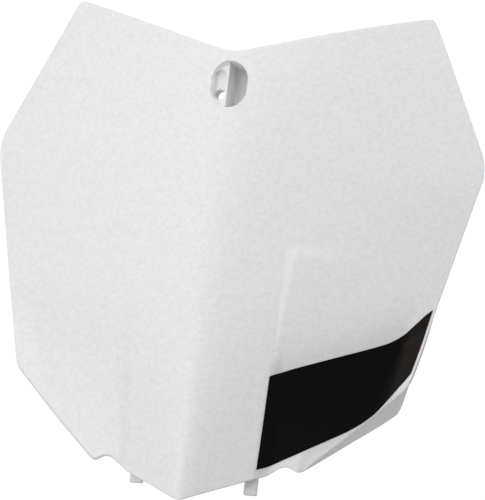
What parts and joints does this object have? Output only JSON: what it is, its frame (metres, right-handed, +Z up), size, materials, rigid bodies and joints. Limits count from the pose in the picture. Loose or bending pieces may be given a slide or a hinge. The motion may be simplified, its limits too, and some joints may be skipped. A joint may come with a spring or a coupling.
{
  "type": "racing number board",
  "caption": "moulded plastic front number board for an off-road motorbike, with a screw recess, swept wings, a keel, fender lugs and a dark side decal",
  "frame": {"origin": "middle of the screw hole's wall, in the recess near the top edge", "axes": "+Z up with the board fitted and leaning back, front faces -Y, +X to the right of a viewer in front of the board"},
  "size_m": [0.2482, 0.1266, 0.2221],
  "materials": {
    "white_plastic": "satin white injection-moulded polypropylene",
    "black_film": "near-black self-adhesive vinyl film with a soft sheen"
  },
  "bodies": {
    "root": {"number_board": "white_plastic", "side_decal": "black_film"}
  },
  "joints": []
}
